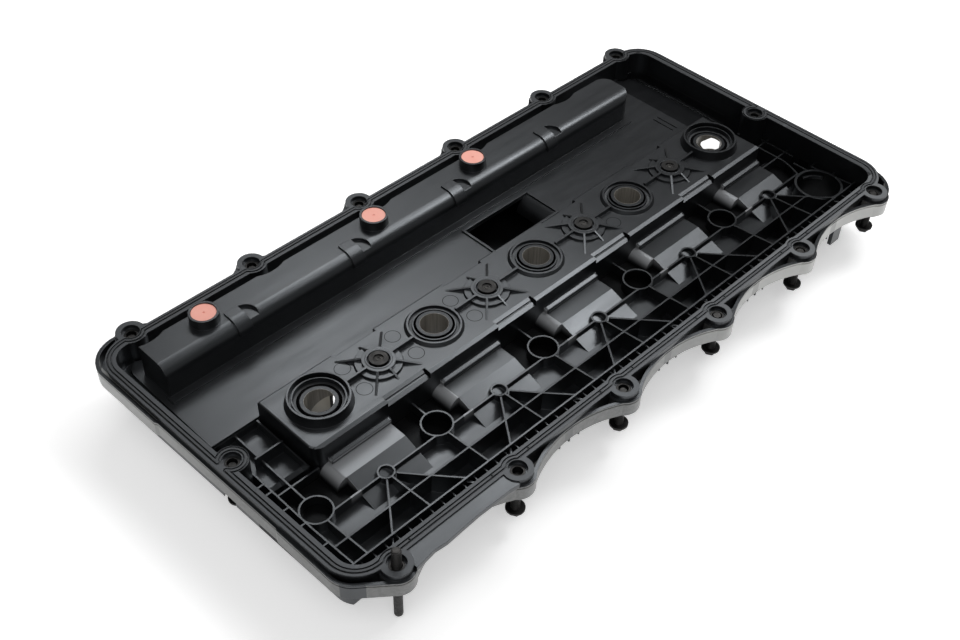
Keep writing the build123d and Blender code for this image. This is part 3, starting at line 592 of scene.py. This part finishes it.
def add_centre_pieces():
    """A bolt end in each of the four centre sleeves, and a thin lip round it; profiles are (r, z) in mm."""
    tip = [
        (0.0, -6.0), (3.29, -6.0), (3.29, 1.3), (2.95, 1.7), (2.6, 1.7), (2.45, 1.3), (1.9, 1.3), (1.75, 1.6),
        (1.3, 1.6), (1.15, 1.1), (0.0, 1.0),
    ]
    lip = [(7.6, -0.9), (9.2, -0.9), (9.2, 1.5), (8.9, 1.7), (7.9, 1.7), (7.6, 1.4), (7.6, -0.9)]
    boss_y = -0.2
    for i in range(4):
        x = -150.0 + 1000.0 * cylinder_pitch * i
        turned(f"centre_tip_{i + 1}", x, boss_y, tip, steel_zinc)
        turned(f"centre_lip_{i + 1}", x, boss_y, lip, nylon)


def add_bore_daylight():
    """Painted light: glowing white patches on the walls of the last and the first injector bore, standing for
    light that enters from below.
    Most angles and heights of the last bore's patch were worked out by another program."""
    # painted light: the bore patches glow with the daylight material
    white = daylight("daylight_white", 0.9)
    wall = {"inner": 9.6, "outer": 9.85, "finish": white, "slot": "nylon_black"}
    arc_band(
        "bore_5_daylight", 200.0, 0.0, **wall,
        angles=[-28.0, -26.9, -11.4, 25.1, 46.3, 51.7, 69.7, 71.4],
        tops=[-3.0, -2.9, -3.0, -3.2, -5.7, -6.1, -7.3, -8.0],
        lows=[-9.0, -9.6, -11.9, -13.6, -14.5, -14.7, -10.4, -10.0],
    )
    arc_band(
        "bore_1_daylight", -200.0, 0.0, **wall,
        angles=[-40.0, -24.0, -15.0, -12.0], tops=[-1.0, -0.8, -1.5, -5.0], lows=[-8.0, -10.5, -12.5, -12.0],
    )


def add_neck_lugs():
    """Two bayonet lugs, half a turn apart, inside the filler neck."""
    x, y = (1000.0 * value for value in neck_axis)
    sweep = 62.0
    for number, start in enumerate((20.0, 200.0)):
        arc_band(
            f"neck_lug_{number + 1}", x, y, inner=14.6, outer=17.1, angles=[start, start + sweep],
            tops=[-21.0, -21.0], lows=[-23.2, -23.2], finish=baffle_nylon, slot="nylon_black",
        )


add_hump_rails()
add_centre_pieces()
add_bore_daylight()
add_neck_lugs()


# ---------------------------------------------------------------- stage

def lit_floor(lift):
    """A wide white floor under the lowest point of the part, lifted to white for the camera."""
    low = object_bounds()[0][2]
    mesh = bpy.data.meshes.new("floor")
    size = 30.0
    corners = [(-size, -size, low), (size, -size, low), (size, size, low), (-size, size, low)]
    mesh.from_pydata(corners, [], [(0, 1, 2, 3)])
    floor = bpy.data.objects.new("floor", mesh)
    bpy.context.scene.collection.objects.link(floor)
    mesh.materials.append(daylight("floor_white", lift))
    floor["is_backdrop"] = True


def panel(name, place, target, width, height, radiance):
    """A rectangular lamp aimed at target; its power follows from its area and its brightness."""
    lamp = bpy.data.lights.new(name, "AREA")
    lamp.shape = "RECTANGLE"
    lamp.size = width
    lamp.size_y = height
    lamp.energy = radiance * pi * width * height
    item = bpy.data.objects.new(name, lamp)
    item.location = place
    item.rotation_euler = (Vector(target) - Vector(place)).to_track_quat("-Z", "Y").to_euler()
    bpy.context.scene.collection.objects.link(item)


def even_world(strength):
    """A weak even light from all round."""
    world = bpy.data.worlds.new("studio")
    world.use_nodes = True
    shade = world.node_tree.nodes["Background"]
    shade.inputs["Color"].default_value = (1.0, 1.0, 1.0, 1.0)
    shade.inputs["Strength"].default_value = strength
    bpy.context.scene.world = world


def aimed(azimuth, elevation, distance):
    """The point at a distance from the origin in a given direction, in degrees."""
    flat = distance * cos(radians(elevation))
    return (flat * cos(radians(azimuth)), flat * sin(radians(azimuth)), distance * sin(radians(elevation)))


def main_camera(place, heading, down, roll, lens):
    """A camera at place: heading is its direction in plan from +X, down its tilt below the level and roll its
    turn about its own axis, all in degrees."""
    data = bpy.data.cameras.new("camera")
    data.sensor_width = 36.0
    data.lens = lens
    data.clip_start = 0.01
    data.clip_end = 100.0
    item = bpy.data.objects.new("camera", data)
    aim = Matrix.Rotation(radians(heading - 90.0), 4, "Z") @ Matrix.Rotation(radians(90.0 - down), 4, "X")
    item.matrix_world = Matrix.Translation(place) @ aim @ Matrix.Rotation(radians(roll), 4, "Z")
    bpy.context.scene.collection.objects.link(item)
    bpy.context.scene.camera = item


# the softbox, the even light and the camera hold the rounded results of fits by other programs
origin = (0.0, 0.0, 0.0)
lit_floor(lift=0.45)
even_world(0.2)
panel("softbox", aimed(23.0, 59.0, 1.15), origin, width=1.43, height=0.36, radiance=5.3)
panel("strip", aimed(-9.0, 49.0, 1.5), origin, width=0.3, height=0.6, radiance=5.8)
panel("fill", aimed(-137.0, 55.0, 2.0), origin, width=1.6, height=1.2, radiance=1.6)
main_camera((-0.515459, -0.445037, 0.597598), heading=44.0724, down=44.2942, roll=1.7019, lens=47.462)
bpy.context.scene.view_settings.view_transform = "Standard"
